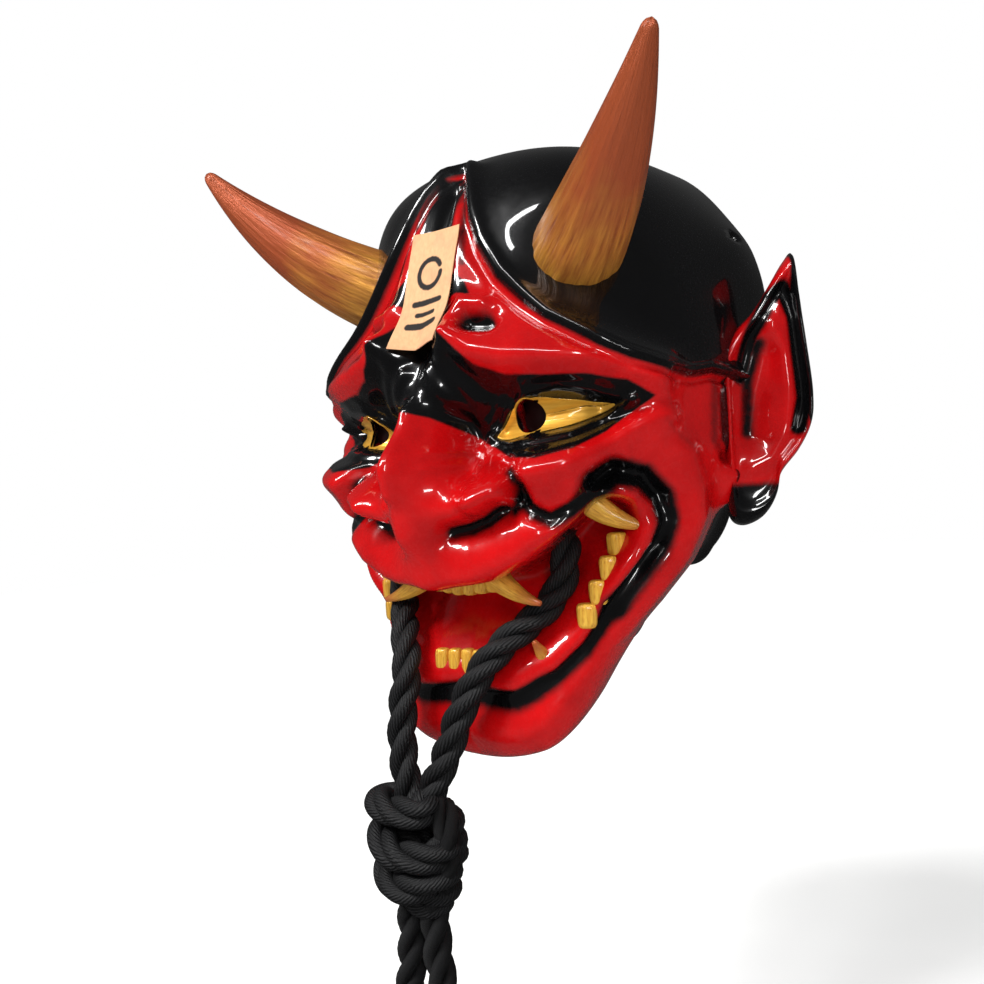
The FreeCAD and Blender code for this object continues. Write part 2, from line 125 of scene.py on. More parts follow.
def piece(name, bm, materials, body, slot, *nodes):
    """Turn a mesh into a finished piece that rides a body and stands for CAD nodes."""
    for face in bm.faces:
        face.smooth = True
    mesh = bpy.data.meshes.new(name)
    bm.to_mesh(mesh)
    bm.free()
    for material in materials:
        mesh.materials.append(material)
    made = bpy.data.objects.new(name, mesh)
    bpy.context.scene.collection.objects.link(made)
    if body:
        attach(made, body)
    if nodes:
        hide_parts(*nodes)
    return made


def laid_rope(bm, line, strand_r, lay_r, pitch, strands=3, taper=3.0):
    """Strands wound round a line, each closed to a point at its two ends."""
    steps = np.linalg.norm(np.diff(line, axis=0), axis=1)
    run = np.concatenate([[0.0], np.cumsum(steps)])
    heading = unit(np.gradient(line, axis=0))
    side = np.zeros_like(line)
    side[0] = unit(np.cross(heading[0], (0.3, 1.0, 0.2)))
    for i in range(1, len(line)):
        side[i] = unit(side[i - 1] - heading[i] * np.dot(side[i - 1], heading[i]))
    other = np.cross(heading, side)
    for strand in range(strands):
        turn = (2 * math.pi * (run / pitch + strand / strands))[:, None]
        outward = np.cos(turn) * side + np.sin(turn) * other
        middle = line + lay_r * outward
        along = unit(np.gradient(middle, axis=0))
        across = unit(np.cross(along, outward))
        outward = np.cross(across, along)
        thick = strand_r * np.sqrt(np.clip(np.minimum(run, run[-1] - run) / taper, 0.0, 1.0))[:, None]

        def place(u, v):
            at = np.rint(v * (len(line) - 1)).astype(int)
            angle = (2 * math.pi * u)[:, None]
            return middle[at] + thick[at] * (np.cos(angle) * outward[at] + np.sin(angle) * across[at])

        soft_grid(bm, 12, len(line) - 1, place)


def linear(code):
    """A colour written as sRGB hex, as the linear values that shaders take."""
    channels = [int(code[i:i + 2], 16) / 255.0 for i in (1, 3, 5)]
    return tuple(c / 12.92 if c <= 0.04045 else ((c + 0.055) / 1.055) ** 2.4 for c in channels) + (1.0,)


def add(tree, kind, links=None, **settings):
    """Add a node; links give its inputs by name or number, as sockets, values or colours."""
    node = tree.nodes.new("ShaderNode" + kind)
    for name, value in settings.items():
        setattr(node, name, value)
    for name, value in (links or {}).items():
        if isinstance(value, bpy.types.NodeSocket):
            tree.links.new(value, node.inputs[name])
        else:
            node.inputs[name].default_value = value
    return node


def finish(name, roughness, metallic=0.0, coat=0.0, coat_roughness=0.03, ior=1.5):
    """A new material, its node tree and its shader."""
    material = bpy.data.materials.new(name)
    material.use_nodes = True
    tree = material.node_tree
    shader = tree.nodes["Principled BSDF"]
    shader.inputs["Roughness"].default_value = roughness
    shader.inputs["Metallic"].default_value = metallic
    shader.inputs["Coat Weight"].default_value = coat
    shader.inputs["Coat Roughness"].default_value = coat_roughness
    shader.inputs["IOR"].default_value = ior
    return material, tree, shader


def blend_colours(tree, amount, first, second):
    """Mix two colours by an amount from 0 to 1."""
    mix = add(tree, "Mix", data_type="RGBA")
    for socket, value in zip((mix.inputs[0], mix.inputs[6], mix.inputs[7]), (amount, first, second)):
        if isinstance(value, bpy.types.NodeSocket):
            tree.links.new(value, socket)
        else:
            socket.default_value = value
    return mix.outputs[2]


def two_tone(tree, shader, amount, first, second):
    """Colour a shader between two hex colours."""
    tree.links.new(blend_colours(tree, amount, linear(first), linear(second)), shader.inputs["Base Color"])


# Polyester fibre: soft satin black, with a painted highlight on the crowns of the yarns. The yarns are about
# 1.1 mm thick and lean across each strand.
rope_fibre, tree, shader = finish("rope_fibre", 0.62, ior=1.53)
rope_map = add(tree, "UVMap", uv_map="uv")
yarn_lay = add(tree, "Mapping", {"Vector": rope_map.outputs[0], "Scale": (9.0, 160.0, 1.0)})
yarns = add(tree, "TexWave", {"Vector": yarn_lay.outputs[0], "Scale": 1.0, "Distortion": 2.4, "Detail": 2.0,
                              "Detail Scale": 1.2}, wave_type="BANDS", bands_direction="DIAGONAL")
object_place = add(tree, "TexCoord").outputs["Object"]
fluff = add(tree, "TexNoise", {"Vector": object_place, "Scale": 1500.0, "Detail": 3.0, "Roughness": 0.7})
weave = add(tree, "Math", {0: yarns.outputs["Fac"], 1: fluff.outputs["Fac"]}, operation="MULTIPLY")
# Painted highlight: the crowns of the yarns are coloured lighter than the black between them.
yarn_crown_highlight = add(tree, "MapRange", {"Value": weave.outputs[0], "From Min": 0.12, "From Max": 0.55})
two_tone(tree, shader, yarn_crown_highlight.outputs[0], "#040405", "#1D1D1F")
yarn_bump = add(tree, "Bump", {"Height": weave.outputs[0], "Strength": 0.9, "Distance": 0.0005})
tree.links.new(yarn_bump.outputs[0], shader.inputs["Normal"])
shader.inputs["Specular IOR Level"].default_value = 0.3

rope_line = route_line(rope_route, 16)
bm = fresh()
laid_rope(bm, rope_line, STRAND_R, LAY_R, LAY_PITCH)
closed(bm)
rope = piece("rope", bm, [rope_fibre], None, "rope_fibre", "rope_upper", "rope_leg_left", "rope_leg_right")
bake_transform(rope)

# Knot: both ends tied together in one fat wrapped knot. The same rope goes round three times,
# each turn tilted and pulled in tight to the right.
knot_route = [
    (-0.012, -0.107, -0.230), (-0.003, -0.113, -0.231), (-0.016, -0.116, -0.234),
    (-0.030, -0.114, -0.232), (-0.034, -0.106, -0.232), (-0.020, -0.098, -0.234),
    (-0.004, -0.099, -0.240), (0.000, -0.107, -0.246), (-0.004, -0.115, -0.249),
    (-0.018, -0.118, -0.250), (-0.031, -0.114, -0.245), (-0.035, -0.106, -0.244),
    (-0.022, -0.097, -0.248), (-0.006, -0.098, -0.251), (-0.001, -0.106, -0.254),
    (-0.005, -0.114, -0.258), (-0.017, -0.116, -0.263), (-0.028, -0.113, -0.262),
    (-0.033, -0.106, -0.256), (-0.022, -0.098, -0.260), (-0.008, -0.100, -0.264),
    (-0.006, -0.107, -0.268), (-0.016, -0.111, -0.269), (-0.022, -0.107, -0.262)]
knot_fold = [
    (-0.006, -0.106, -0.229), (0.000, -0.108, -0.236), (0.001, -0.109, -0.247), (-0.003, -0.108, -0.258),
    (-0.010, -0.107, -0.266)]
bm = fresh()
laid_rope(bm, route_line(knot_route, 12), 3.2, 3.2, 42.0)
laid_rope(bm, route_line(knot_fold, 12), 2.7, 2.8, 40.0)
closed(bm)
knot = piece("knot", bm, [rope_fibre], "rope", "rope_fibre", "rope_knot")

# Tails: the two ends below the knot, hanging side by side. Each is stopped by a small wrapped
# knot of its own strands, so that it can't come unlaid.
tail_routes = {
    "left": [(-0.021, -0.107, -0.264), (-0.022, -0.107, -0.275), (-0.023, -0.107, -0.294), (-0.027, -0.107, -0.313),
             (-0.029, -0.107, -0.332), (-0.0295, -0.107, -0.350)],
    "right": [(-0.0105, -0.107, -0.264), (-0.010, -0.107, -0.275), (-0.0095, -0.107, -0.294),
              (-0.005, -0.107, -0.312), (-0.002, -0.107, -0.331), (-0.001, -0.107, -0.350)]}
END_KNOT_R = 8.5


def wrapped_ball(bm, centre, radius):
    """One strand passed twice round a ball over three crossings, as a small stopper knot."""
    strand = 0.3 * radius

    def line_at(turn):
        lean = 1.5 * turn
        out = radius - strand - 0.22 * radius * (1.0 - np.cos(lean))
        return np.stack([out * np.cos(turn), out * np.sin(turn), 0.68 * radius * np.sin(lean)], axis=-1)

    def place(u, v):
        turn = 4 * math.pi * v
        middle = line_at(turn)
        along = unit(line_at(turn + 0.01) - line_at(turn - 0.01))
        across = unit(np.cross(along, unit(middle)))
        outward = np.cross(across, along)
        angle = (2 * math.pi * u)[:, None]
        return centre + middle + strand * (np.cos(angle) * outward + np.sin(angle) * across)

    soft_grid(bm, 12, 120, place)

    def core(u, v):
        angle = 2 * math.pi * u
        height = math.pi * v
        ring = 0.62 * radius * np.sin(height)
        return centre + np.stack([ring * np.cos(angle), ring * np.sin(angle),
                                  0.95 * radius * np.cos(height)], axis=-1)

    soft_grid(bm, 20, 14, core)


for side, route in tail_routes.items():
    tail_line = route_line(route, 16)
    bm = fresh()
    laid_rope(bm, tail_line, STRAND_R, LAY_R, LAY_PITCH)
    closed(bm)
    tail = piece("tail_" + side, bm, [rope_fibre], "rope", "rope_fibre", "rope_tail_" + side)
    bm = fresh()
    wrapped_ball(bm, tail_line[-1] - np.array([0.0, 0.0, END_KNOT_R]), END_KNOT_R)
    closed(bm)
    stopper = piece("end_knot_" + side, bm, [rope_fibre], "rope", "rope_fibre", "rope_end_knot_" + side)

# ----------------------------------------
# Mask shell: cast resin, hollow and about 4.5 mm thick, sanded and sprayed. The face is a bowl
# drawn by rays from a point 99 mm below the hanging hole, with the features raised from it.
WALL = 4.5
FACE_REACH = 176.0
FACE_STEPS = 280
RIM_Y = 4.0
CENTRE = np.array([0.0, RIM_Y, -99.0])

# Main forms, the same as the solid's: height, half-width, and the line followed on each side.
FORMS = [
    (9, 11, [(14, 33), (28, 31), (46, 30), (62, 29), (80, 24)]),
    (-13, 11, [(28, 8), (44, 11), (60, 12)]),
    (9, 12, [(0, 16), (0, 0)]),
    (16, 12, [(0, -6), (0, -22)]),
    (11, 10, [(17, -16), (21, -15)]),
    (12, 14, [(42, -8), (50, -7)]),
    (7, 8, [(0, -41), (18, -38), (34, -32), (46, -26), (58, -18), (70, -16)]),
    (-28, 13, [(0, -58), (25, -56), (42, -48), (60, -31)]),
    (9, 8, [(0, -78), (27, -76), (43, -71), (54, -59), (63, -46), (77, -33)]),
    (22, 21, [(0, -97), (20, -90)]),
    (-24, 32, [(0, -152), (50, -148), (80, -134)]),
    (6, 30, [(0, 106), (30, 100)]),
    (5, 24, [(116, 98), (130, 92)]),
    (-6, 16, [(46, 66), (50, 66)])]

# Carved details that the moulds carry on top of the main forms.
DETAILS = [
    (4.5, 4.2, [(15, 34), (21, 29.5), (31, 27), (46, 26), (58, 26.5), (70, 25), (82, 21)]),  # brow's edge
    (-2.5, 3.0, [(14, 27), (22, 21), (32, 18.5)]),  # under the brow
    (4.0, 3.6, [(14, 35), (12.5, 41), (16, 46.5), (22, 46)]),  # curl
    (-4.5, 3.4, [(19, 40), (25, 40)]),  # pit of the curl
    (3.0, 5.0, [(12, 52), (10, 62), (8, 76), (5, 92)]),  # centre bands
    (6.0, 3.6, [(0, 13), (0, 4), (0, -10)]),  # bridge
    (-9.0, 5.2, [(13, 11), (15, 3), (16, -5)]),  # nose's flank
    (-3.0, 2.6, [(0, 88), (0, 34)]),  # centre groove
    (2.2, 2.4, [(5, 26), (10, 19), (17, 13)]),  # root wrinkles
    (2.2, 2.4, [(9, 32), (15, 25), (20, 17)]),
    (5.0, 9.0, [(38, 11), (48, 12), (56, 13)]),  # eyeball
    (3.4, 1.9, [(23, 6), (29, 13.4), (37, 18), (48, 19.4), (59, 18.8), (72, 15.4)]),  # upper lid
    (1.6, 1.6, [(21, 10), (28, 17.6), (38, 21.4), (50, 22.4), (62, 21.4), (73, 17.6)]),  # second lid
    (3.2, 1.9, [(22, 4.5), (30, 2), (40, 2.6), (52, 4.6), (63, 9.5), (73, 15)]),  # lower lid
    (1.6, 1.7, [(20, 2.5), (30, -1.4), (42, -1.6), (54, 1), (66, 7)]),  # second lower lid
    (4.0, 7.0, [(0, -18), (0, -22)]),  # nose ball
    (6.5, 5.0, [(22, -14), (28, -12)]),  # nostril wing
    (-4.5, 2.6, [(32, -5), (35, -10), (35, -16), (31, -20)]),  # round the wing
    (-6.5, 3.6, [(10, -24.5), (16, -24), (23, -22), (28, -18.5)]),  # nostril
    (0.9, 1.4, [(8, -4), (15, -4), (22, -6)]),  # nose wrinkles
    (0.8, 1.3, [(7, 0), (14, 0.5), (21, 0)]),
    (6.0, 5.5, [(38, -6), (48, -5), (59, -1), (71, 6), (86, 10)]),  # top of the cheek
    (-5.0, 3.0, [(35, -13), (37, -19), (43, -22.5), (50, -20), (58, -14), (64, -9)]),  # under the cheek
    (4.5, 8.0, [(0, -35), (14, -35), (27, -31), (38, -28), (48, -24)]),  # upper lip
    (3.5, 4.5, [(0, -42), (12, -41.5), (21, -40.5), (33, -35.5), (43, -30), (51, -24), (56, -17)]),  # its lower edge
    (1.5, 5.0, [(0, -44), (0, -41)]),  # lip's beak
    (5.5, 4.0, [(0, -70), (20, -70), (33, -68), (42, -64), (48, -59), (54, -53), (61, -47), (67, -41),
                (71, -33), (72, -25), (68, -18)]),  # lower lip
    (-8.0, 4.0, [(0, -77), (20, -76), (33, -74), (43, -70.5), (49, -66), (57, -58.5), (68, -50), (78, -42),
                 (82, -32), (82, -23), (76, -14), (66, -10), (59, -13)]),  # round the lip
    (3.5, 7.0, [(70, 2), (84, 2), (95, -6), (99, -22), (98, -36), (88, -51), (74, -61), (58, -72)]),  # outer band
    (3.0, 8.0, [(0, -92), (22, -90), (46, -82)]),  # chin's edge
    (5.0, 8.0, [(124, -22), (122, -34)]),  # lump by the ear
    (-17.0, 30.0, [(60, -122), (92, -106), (118, -86), (136, -58)]),  # behind the jaw
    (-3.0, 4.0, [(120, -10), (130, -13)])]
SCALP_EDGE = [(-60, 96), (0, 96), (4, 92), (8, 84), (12, 74), (17, 65), (25, 55), (34, 47.5), (43, 40.5), (53, 35),
              (60, 31), (70, 27), (84, 25), (98, 28), (108, 32), (260, 36), (260, 300), (-60, 300)]
SOCKET_EDGE = [(-60, 13), (0, 13), (6, 11.5), (13, 7), (18, 4), (24, 1.5), (32, -2.5), (42, -3.2), (53, -1), (63, 4),
               (71, 10), (80, 16.5), (70, 21.5), (58, 23), (46, 22.6), (32, 23.3), (23, 26), (18, 30), (13, 35),
               (9.5, 42), (9.5, 49), (13, 50), (18, 49), (15, 54), (9, 58), (6, 66), (4.5, 78), (3, 92),
               (0, 95), (-60, 95)]
JAW_EDGE = [(118, 36), (116, 22), (117, 0), (124, -10), (122, -30), (117, -46), (107, -59), (94, -69), (80, -77),
            (66, -84), (55, -92), (45, -104), (0, -118), (-60, -118), (-60, -400), (400, -400), (400, 36)]
# Lines of black paint, with a few soft bands of painted shade among them: strength, half-width, and the line followed
# on each side.
BLACK_PAINT_AND_SHADE_LINES = [
    (1.0, 3.6, [(19, 40), (24, 40)]),
    (0.8, 2.2, [(6, 60), (4, 90)]),
    (0.6, 1.8, [(13, 60), (9, 80), (6, 92)]),
    (0.35, 3.5, [(13, 0), (20, -5), (28, -5)]),
    (0.7, 2.2, [(33, -7), (35, -11), (35, -16), (32, -20)]),
    (1.0, 2.4, [(11, -25), (17, -24.5), (23, -22.5), (28, -19.5)]),
    (0.95, 2.8, [(36, -17), (39, -20.5), (44, -23), (50, -20.5), (55, -17)]),
    (1.0, 2.8, [(0, -76.5), (20, -75.5), (33, -73.5), (43, -70.5), (49, -66.5), (57, -59)]),
    (1.0, 6.0, [(57, -59), (68, -51), (78, -43), (83, -32), (83, -23), (76, -13.5), (66, -10), (59, -13)]),
    # Painted shade under the corner of the upper lip.
    (0.5, 5.0, [(46, -32), (54, -25), (60, -18)]),
    (0.35, 3.0, [(84, 8), (99, -4), (105, -18)]),
    # Painted shadow behind the temple, by the ear.
    (0.5, 5.0, [(112, 30), (112, 0), (119, -12)]),
    # Painted shade under the upper lip, inside the mouth.
    (0.35, 5.0, [(-10, -50), (10, -50), (26, -47), (40, -41), (50, -33)])]


def face_ray(p, q):
    """Direction from the centre for a place on the unrolled face."""
    reach = np.maximum(np.hypot(p, q), 1e-6)
    side = np.sin(reach / 100.0) / reach
    return np.stack([p * side, -np.cos(reach / 100.0), q * side], axis=-1)


def face_bowl(ray):
    """Distance from the centre to the plain bowl."""
    fall = np.clip((-ray[..., 2] - 0.25) / 0.75, 0.0, 1.0)
    half_width = 86.0 * (1.0 - 0.30 * fall * fall * (3.0 - 2.0 * fall))
    height = np.where(ray[..., 2] > 0, 121.0, 112.0)
    level = np.abs(ray[..., 0] / half_width) ** 2.5 + np.abs(ray[..., 1] / 108.0) ** 2.5
    return (level ** 1.2 + np.abs(ray[..., 2] / height) ** 3.0) ** (-1.0 / 3.0)


def line_distance(p, q, line):
    """Distance from each place to a line of straight runs."""
    best = np.full(np.shape(p), 1e9)
    for (p0, q0), (p1, q1) in zip(line, line[1:]):
        dp, dq = p1 - p0, q1 - q0
        share = np.clip(((p - p0) * dp + (q - q0) * dq) / max(dp * dp + dq * dq, 1e-9), 0.0, 1.0)
        best = np.minimum(best, np.hypot(p - p0 - share * dp, q - q0 - share * dq))
    return best


def inside_by(p, q, edge):
    """How far each place lies inside a closed outline, in mm; negative outside it."""
    ring = edge + edge[:1]
    crossings = np.zeros(np.shape(p), bool)
    for (p0, q0), (p1, q1) in zip(ring, ring[1:]):
        if q0 != q1:
            crossings ^= ((q0 > q) != (q1 > q)) & (p < (p1 - p0) * (q - q0) / (q1 - q0) + p0)
    return np.where(crossings, 1.0, -1.0) * line_distance(p, q, ring)


def raised(p, q, forms):
    return sum(height * np.exp(-(line_distance(np.abs(p), q, line) / width) ** 2)
               for height, width, line in forms)


def step_up(distance, softness):
    share = np.clip(distance / softness + 0.5, 0.0, 1.0)
    return share * share * (3.0 - 2.0 * share)


def scalp_lift(p, q):
    """The scalp stands 3 mm proud, with a rolled rim and a fine groove along its edge."""
    inside = inside_by(np.abs(p), q, SCALP_EDGE)
    return (2.6 * step_up(inside - 0.6, 2.4) + 1.6 * np.exp(-((inside - 2.6) / 2.0) ** 2)
            - 1.6 * np.exp(-((inside + 1.6) / 1.4) ** 2) - 0.8 * step_up(inside - 7.0, 8.0))


def face_place(p, q, lift=0.0, carved=True):
    """Point on the outside of the face, in mm, or lifted from it along the ray."""
    ray = face_ray(p, q)
    reach = face_bowl(ray) + raised(p, q, FORMS) + lift
    if carved:
        reach = reach + raised(p, q, DETAILS) + scalp_lift(p, q)
    return CENTRE + ray * reach[..., None]


def unrolled(points):
    """Places on the unrolled face for points in space, in mm."""
    ray = unit(points - CENTRE)
    side = np.maximum(np.hypot(ray[:, 0], ray[:, 2]), 1e-9)
    reach = 100.0 * np.arctan2(side, -ray[:, 1])
    return reach * ray[:, 0] / side, reach * ray[:, 2] / side


def spaced(share):
    """Places across the face, closest together at its middle."""
    s = 2.0 * share - 1.0
    return FACE_REACH * (0.62 * s + 0.38 * s ** 3)


# Sprayed lacquer: hard and very glossy, pigment under a clear coat, with a faint orange peel about 2 mm across.
# The red runs darker where black was airbrushed into the creases, and under soft bands of painted shade.
lacquer, tree, shader = finish("lacquered_resin", 0.24, coat=1.0, coat_roughness=0.04)
shader.inputs["Specular IOR Level"].default_value = 0.12
object_place = add(tree, "TexCoord").outputs["Object"]
scalp_paint = add(tree, "Attribute", attribute_name="scalp")
shade_paint = add(tree, "Attribute", attribute_name="shade")
cloudy = add(tree, "TexNoise", {"Vector": object_place, "Scale": 45.0, "Detail": 4.0, "Roughness": 0.6})
spray = add(tree, "TexNoise", {"Vector": object_place, "Scale": 420.0, "Detail": 2.0})
wander = add(tree, "MapRange", {"Value": cloudy.outputs["Fac"], "To Min": -0.3, "To Max": 0.3})
edge_at = add(tree, "Math", {0: scalp_paint.outputs["Fac"], 1: wander.outputs[0]}, operation="ADD")
scalp_black = add(tree, "MapRange", {"Value": edge_at.outputs[0], "From Min": -0.4, "From Max": 0.4})
grain = add(tree, "Math", {0: spray.outputs["Fac"], 1: 0.16, 2: -0.08}, operation="MULTIPLY_ADD")
soft_shade = add(tree, "Math", {0: shade_paint.outputs["Fac"], 1: grain.outputs[0]}, operation="ADD")
# Black airbrushed into the creases, together with the soft bands of painted shade.
crease_black_and_shade = add(tree, "MapRange", {"Value": soft_shade.outputs[0], "From Min": 0.22, "From Max": 0.72},
                   interpolation_type="SMOOTHSTEP")
all_black = add(tree, "Math", {0: scalp_black.outputs[0], 1: crease_black_and_shade.outputs[0]}, operation="MAXIMUM")
red_depth = add(tree, "MapRange", {"Value": cloudy.outputs["Fac"], "From Min": 0.3, "From Max": 0.7})
red = blend_colours(tree, red_depth.outputs[0], linear("#980407"), linear("#B4070A"))
tree.links.new(blend_colours(tree, all_black.outputs[0], red, linear("#060607")), shader.inputs["Base Color"])
rub = add(tree, "MapRange", {"Value": spray.outputs["Fac"], "To Min": 0.20, "To Max": 0.34})
tree.links.new(rub.outputs[0], shader.inputs["Roughness"])
peel = add(tree, "Bump", {"Height": cloudy.outputs["Fac"], "Strength": 0.2, "Distance": 0.0004})
fine_peel = add(tree, "Bump", {"Height": spray.outputs["Fac"], "Strength": 0.05, "Distance": 0.0001,
                               "Normal": peel.outputs[0]})
tree.links.new(fine_peel.outputs[0], shader.inputs["Normal"])

# Inside of the shell: brushed with one dull coat of dark maroon, with the resin's dimples under it.
lining, tree, shader = finish("painted_lining", 0.6)
object_place = add(tree, "TexCoord").outputs["Object"]
brushed = add(tree, "TexNoise", {"Vector": object_place, "Scale": 120.0, "Detail": 5.0, "Roughness": 0.65})
two_tone(tree, shader, brushed.outputs["Fac"], "#140506", "#2A0A0B")
dimples = add(tree, "Bump", {"Height": brushed.outputs["Fac"], "Strength": 0.5, "Distance": 0.0008})
tree.links.new(dimples.outputs[0], shader.inputs["Normal"])

bm = fresh()
scalp_layer = bm.verts.layers.float.new("scalp")
shade_layer = bm.verts.layers.float.new("shade")
outer, u, v = soft_grid(bm, FACE_STEPS, FACE_STEPS, lambda u, v: face_place(spaced(u), spaced(v)))
p, q = spaced(u), spaced(v)
scalp = inside_by(np.abs(p), q, SCALP_EDGE)
clear = 1.0 - step_up(inside_by(np.abs(p), q, SOCKET_EDGE), 2.4)
clear = clear * (1.0 - step_up(inside_by(np.abs(p), q, JAW_EDGE), 5.0))
# The lines darken the red: black paint, and painted shade in the soft bands.
for strength, width, line in BLACK_PAINT_AND_SHADE_LINES:
    clear = clear * (1.0 - strength * np.exp(-(line_distance(np.abs(p), q, line) / width) ** 2))
for vertex, edge, tone in zip(outer, scalp, 1.0 - clear):
    vertex[scalp_layer] = edge
    vertex[shade_layer] = tone


def lining_place(u, v):
    p, q = spaced(u), spaced(v)
    smooth = face_place(p, q, -WALL, carved=False)
    carved = face_place(p, q, -WALL - 0.5)
    nearer = np.linalg.norm(carved - CENTRE, axis=-1) < np.linalg.norm(smooth - CENTRE, axis=-1)
    return np.where(nearer[:, None], carved, smooth)


inner = set(soft_grid(bm, 90, 90, lining_place)[0])
bm.normal_update()
for face in bm.faces:
    face.material_index = 1 if face.verts[0] in inner else 0
    outward = np.dot(np.array(face.calc_center_median()) / MM - CENTRE, face.normal)
    if (outward > 0) == (face.material_index == 1):
        face.normal_flip()
bmesh.ops.bisect_plane(bm, geom=bm.verts[:] + bm.edges[:] + bm.faces[:], dist=1e-6,
                       plane_co=(0, RIM_Y * MM, 0), plane_no=(0, 1, 0), clear_outer=True)


def join_rings(bm, corners, angle, facing):
    """Join the open edges of the two skins with a strip, in order of angle, with its front one way."""
    rings = [sorted((vertex for vertex in corners if vertex.link_faces[0].material_index == skin), key=angle)
             for skin in (0, 1)]
    at = [0, 0]
    while at[0] < len(rings[0]) or at[1] < len(rings[1]):
        ahead = [2.0 * math.pi * (at[k] + 1 >= len(rings[k])) + angle(rings[k][(at[k] + 1) % len(rings[k])])
                 + 100.0 * (at[k] >= len(rings[k])) for k in (0, 1)]
        mover = 0 if ahead[0] <= ahead[1] else 1
        pair = [rings[k][at[k] % len(rings[k])] for k in (0, 1)]
        face = bm.faces.new((pair[0], pair[1], rings[mover][(at[mover] + 1) % len(rings[mover])]))
        face.normal_update()
        if np.dot(facing(pair[0]), face.normal) < 0:
            face.normal_flip()
        at[mover] += 1


join_rings(bm, [vertex for vertex in bm.verts if vertex.is_boundary],
           lambda vertex: math.atan2(vertex.co.z / MM - CENTRE[2], vertex.co.x / MM),
           lambda vertex: np.array([0.0, 1.0, 0.0]))


def bore(bm, place, axis, radius, depth):
    """Open a round hole through both skins round an axis, and line it."""
    def off_axis(vertex):
        away = np.array(vertex.co) / MM - place
        along = np.dot(away, axis)
        return away - along * axis, abs(along)

    for skin in (0, 1):
        found = []
        for vertex in bm.verts:
            away, along = off_axis(vertex)
            if along < depth and vertex.link_faces and vertex.link_faces[0].material_index == skin:
                found.append((np.linalg.norm(away), vertex))
        nearest = min(gap for gap, vertex in found)
        inside = [vertex for gap, vertex in found if gap <= max(radius, nearest)]
        bmesh.ops.delete(bm, geom=inside, context="VERTS")
    corners = []
    for vertex in bm.verts:
        away, along = off_axis(vertex)
        if vertex.is_boundary and along < depth and np.linalg.norm(away) < radius + 8.0:
            corners.append(vertex)
    for vertex in corners:
        away = off_axis(vertex)[0]
        vertex.co = (np.array(vertex.co) / MM - away + unit(away) * radius) * MM
    across = unit(np.cross(axis, np.array([0.3, 0.2, 1.0])))
    upward = np.cross(axis, across)
    join_rings(bm, corners, lambda vertex: math.atan2(np.dot(off_axis(vertex)[0], upward),
                                                      np.dot(off_axis(vertex)[0], across)),
               lambda vertex: -off_axis(vertex)[0])


# The holes the wearer looks through, and a hole over each ear for the head cord.
PUPIL_X, PUPIL_Z = 38.0, -88.0
PUPIL_R = 6.5
STRAP_R = 3.0
for side in (-1.0, 1.0):
    bore(bm, np.array([side * PUPIL_X, -88.0, PUPIL_Z]), np.array([0.0, 1.0, 0.0]), PUPIL_R, 45.0)
    bore(bm, np.array([side * 78.3, -6.37, -19.95]), np.array([side * 0.866, 0.0, 0.5]), STRAP_R, 12.0)

# Cups behind the scalp that the horns are let into: 3 mm of resin round each horn, with a flat
# floor. Each is drawn along its horn and ends inside the wall.
HORN_BASE = np.array([40.0, -66.5, -32.0])
HORN_TIP = np.array([109.0, -115.0, 29.0])
HORN_BASE_R = 17.5
CUP_WALL = 3.0
CUP_FLOOR = 5.0
CUP_REACH = 40.0
BOSS_HALF_WIDTH = 15.0
BOSS_TOP = 20.0
BOSS_DROP = 9.0
NAIL_ROOM_R = 5.0


def cup_place(u, v):
    axis = unit(HORN_TIP - HORN_BASE)
    across = unit(np.cross(axis, np.array([0.0, 0.0, 1.0])))
    upward = np.cross(across, axis)
    angle = 2 * math.pi * u
    cup_r = HORN_BASE_R + CUP_WALL
    radius = np.interp(v, [0.0, 0.16, 0.20, 1.0], [0.0, cup_r - 0.8, cup_r, cup_r])
    along = np.interp(v, [0.0, 0.16, 0.20, 1.0], [0.0, 0.0, 0.8, CUP_REACH])
    point = (HORN_BASE - CUP_FLOOR * axis + along[:, None] * axis
             + radius[:, None] * (np.cos(angle)[:, None] * across + np.sin(angle)[:, None] * upward))
    reach = np.linalg.norm(point - CENTRE, axis=1)
    wall = np.linalg.norm(face_place(*unrolled(point), -3.0) - CENTRE, axis=1)
    return CENTRE + (point - CENTRE) * (np.minimum(reach, wall) / reach)[:, None]


def boss_place(u, v):
    """Block cast inside the crown for the hanger, with room behind the plate for a nail's head."""
    angle = 2 * math.pi * u
    rise = np.where(np.sin(angle) > 0, BOSS_TOP, BOSS_DROP)
    outline = np.minimum(BOSS_HALF_WIDTH / np.maximum(np.abs(np.cos(angle)), 1e-6),
                         rise / np.maximum(np.abs(np.sin(angle)), 1e-6))
    steps = [0.0, 0.12, 0.16, 0.34, 0.38, 0.50, 0.54, 0.80, 0.84, 1.0]
    out = np.interp(v, steps, [-1, -0.04, 0, 0, 0.04, 0.95, 1, 1, 0.95, -1])
    y = np.interp(v, steps, [-10, -10, -9.7, -2.3, -2, -2, -2.5, -11.5, -12, -12])
    radius = np.where(out < 0, NAIL_ROOM_R * (1.0 + out), NAIL_ROOM_R + (outline - NAIL_ROOM_R) * out)
    return np.stack([radius * np.cos(angle), y, radius * np.sin(angle)], axis=-1)


before = set(bm.faces)
for way in (1.0, -1.0):
    soft_grid(bm, 64, 25, lambda u, v: cup_place(u, v) * np.array([way, 1.0, 1.0]))
soft_grid(bm, 96, 50, boss_place)
added = [face for face in bm.faces if face not in before]
for face in added:
    face.material_index = 1
bmesh.ops.recalc_face_normals(bm, faces=added)
corners = list(dict.fromkeys(vertex for face in added for vertex in face.verts))
bmesh.ops.remove_doubles(bm, verts=corners, dist=2e-6)
piece("shell", bm, [lacquer, lining], "mask", "lacquered_resin", "mask_shell")

